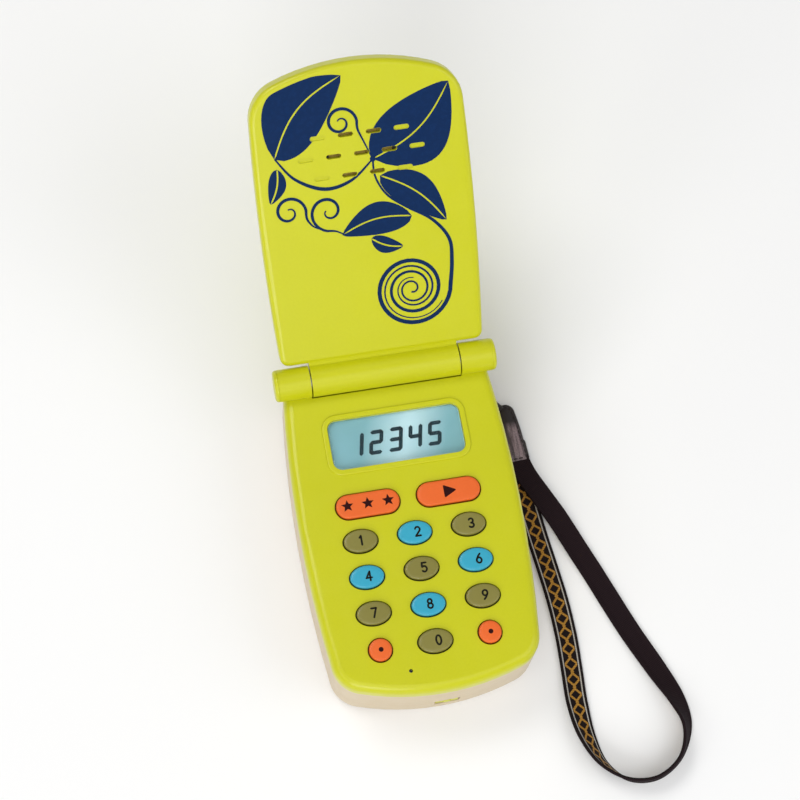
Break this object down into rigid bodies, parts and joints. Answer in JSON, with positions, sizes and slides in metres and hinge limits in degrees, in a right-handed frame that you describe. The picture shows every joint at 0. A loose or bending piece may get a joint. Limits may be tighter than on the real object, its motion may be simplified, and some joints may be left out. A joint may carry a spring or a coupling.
{
  "type": "toy flip phone",
  "caption": "Toy flip phone lying open on its back, with a hinged lid, sprung keys, a display window and a woven wrist strap.",
  "frame": {"origin": "middle of the flat back that the phone rests on", "axes": "+X to the right, +Y from the mouthpiece towards the hinge, +Z out of the keypad"},
  "size_m": [0.1, 0.1909, 0.0851],
  "materials": {
    "lime_plastic": "semi-gloss moulded lime plastic",
    "cream_plastic": "satin moulded cream plastic",
    "key_olive": "semi-gloss olive keycap",
    "key_blue": "semi-gloss blue keycap",
    "key_orange": "semi-gloss orange keycap",
    "screw_steel": "plated steel",
    "contact_steel": "nickel-plated spring steel",
    "board_green": "solder-masked circuit board",
    "membrane_silicone": "grey silicone rubber",
    "microphone_can": "aluminium can",
    "display_cell": "pale cyan display face",
    "lens_clear": "clear moulded window",
    "battery_wrap": "printed cell wrap",
    "lead_insulation": "insulated two-core lead",
    "speaker_black": "speaker frame and cone",
    "strap_black_cord": "braided black cord",
    "strap_leather": "dark grained leather",
    "strap_ribbon_weave": "woven ribbon, dark brown with a gold figured inner face"
  },
  "bodies": {
    "handset": {"front_housing": "lime_plastic", "mid_frame": "cream_plastic", "rear_cover": "cream_plastic", "battery_door": "cream_plastic", "door_screw": "screw_steel", "end_clip": "lime_plastic", "housing_screws": "screw_steel", "board_screws": "screw_steel", "circuit_board": "board_green", "keypad_membrane": "membrane_silicone", "microphone": "microphone_can", "display_module": "display_cell", "display_lens": "lens_clear", "battery_left": "battery_wrap", "battery_right": "battery_wrap", "battery_springs": "contact_steel", "battery_contacts": "contact_steel", "hinge_pin_left": "screw_steel", "hinge_pin_right": "screw_steel", "hinge_caps": "lime_plastic", "speaker_lead_base": "lead_insulation", "strap_cord": "strap_black_cord", "strap_tab": "strap_leather", "strap_ribbon": "strap_ribbon_weave"},
    "lid": {"lid_inner_shell": "lime_plastic", "lid_outer_shell": "lime_plastic", "speaker": "speaker_black", "speaker_lead_lid": "lead_insulation"},
    "key_1": {"key_1": "key_olive"},
    "key_2": {"key_2": "key_blue"},
    "key_3": {"key_3": "key_olive"},
    "key_4": {"key_4": "key_blue"},
    "key_5": {"key_5": "key_olive"},
    "key_6": {"key_6": "key_blue"},
    "key_7": {"key_7": "key_olive"},
    "key_8": {"key_8": "key_blue"},
    "key_9": {"key_9": "key_olive"},
    "key_0": {"key_0": "key_olive"},
    "round_key_left": {"round_key_left": "key_orange"},
    "round_key_right": {"round_key_right": "key_orange"},
    "pill_key_stars": {"pill_key_stars": "key_orange"},
    "pill_key_play": {"pill_key_play": "key_orange"}
  },
  "joints": [
    {"name": "lid_hinge", "type": "hinge", "parent": "handset", "child": "lid", "pos_m": [0, 0.0465, 0.026], "axis": [1, 0, 0], "range_deg": [0, 138]},
    {"name": "key_1_press", "type": "slide", "parent": "handset", "child": "key_1", "axis": [0, 0, -1], "range_m": [0, 0.0008], "stiffness_N_per_m": 400, "springref_m": -0.0004},
    {"name": "key_2_press", "type": "slide", "parent": "handset", "child": "key_2", "axis": [0, 0, -1], "range_m": [0, 0.0008], "stiffness_N_per_m": 400, "springref_m": -0.0004},
    {"name": "key_3_press", "type": "slide", "parent": "handset", "child": "key_3", "axis": [0, 0, -1], "range_m": [0, 0.0008], "stiffness_N_per_m": 400, "springref_m": -0.0004},
    {"name": "key_4_press", "type": "slide", "parent": "handset", "child": "key_4", "axis": [0, 0, -1], "range_m": [0, 0.0008], "stiffness_N_per_m": 400, "springref_m": -0.0004},
    {"name": "key_5_press", "type": "slide", "parent": "handset", "child": "key_5", "axis": [0, 0, -1], "range_m": [0, 0.0008], "stiffness_N_per_m": 400, "springref_m": -0.0004},
    {"name": "key_6_press", "type": "slide", "parent": "handset", "child": "key_6", "axis": [0, 0, -1], "range_m": [0, 0.0008], "stiffness_N_per_m": 400, "springref_m": -0.0004},
    {"name": "key_7_press", "type": "slide", "parent": "handset", "child": "key_7", "axis": [0, 0, -1], "range_m": [0, 0.0008], "stiffness_N_per_m": 400, "springref_m": -0.0004},
    {"name": "key_8_press", "type": "slide", "parent": "handset", "child": "key_8", "axis": [0, 0, -1], "range_m": [0, 0.0008], "stiffness_N_per_m": 400, "springref_m": -0.0004},
    {"name": "key_9_press", "type": "slide", "parent": "handset", "child": "key_9", "axis": [0, 0, -1], "range_m": [0, 0.0008], "stiffness_N_per_m": 400, "springref_m": -0.0004},
    {"name": "key_0_press", "type": "slide", "parent": "handset", "child": "key_0", "axis": [0, 0, -1], "range_m": [0, 0.0008], "stiffness_N_per_m": 400, "springref_m": -0.0004},
    {"name": "round_key_left_press", "type": "slide", "parent": "handset", "child": "round_key_left", "axis": [0, 0, -1], "range_m": [0, 0.0008], "stiffness_N_per_m": 400, "springref_m": -0.0004},
    {"name": "round_key_right_press", "type": "slide", "parent": "handset", "child": "round_key_right", "axis": [0, 0, -1], "range_m": [0, 0.0008], "stiffness_N_per_m": 400, "springref_m": -0.0004},
    {"name": "pill_key_stars_press", "type": "slide", "parent": "handset", "child": "pill_key_stars", "axis": [0, 0, -1], "range_m": [0, 0.0008], "stiffness_N_per_m": 400, "springref_m": -0.0004},
    {"name": "pill_key_play_press", "type": "slide", "parent": "handset", "child": "pill_key_play", "axis": [0, 0, -1], "range_m": [0, 0.0008], "stiffness_N_per_m": 400, "springref_m": -0.0004}
  ]
}
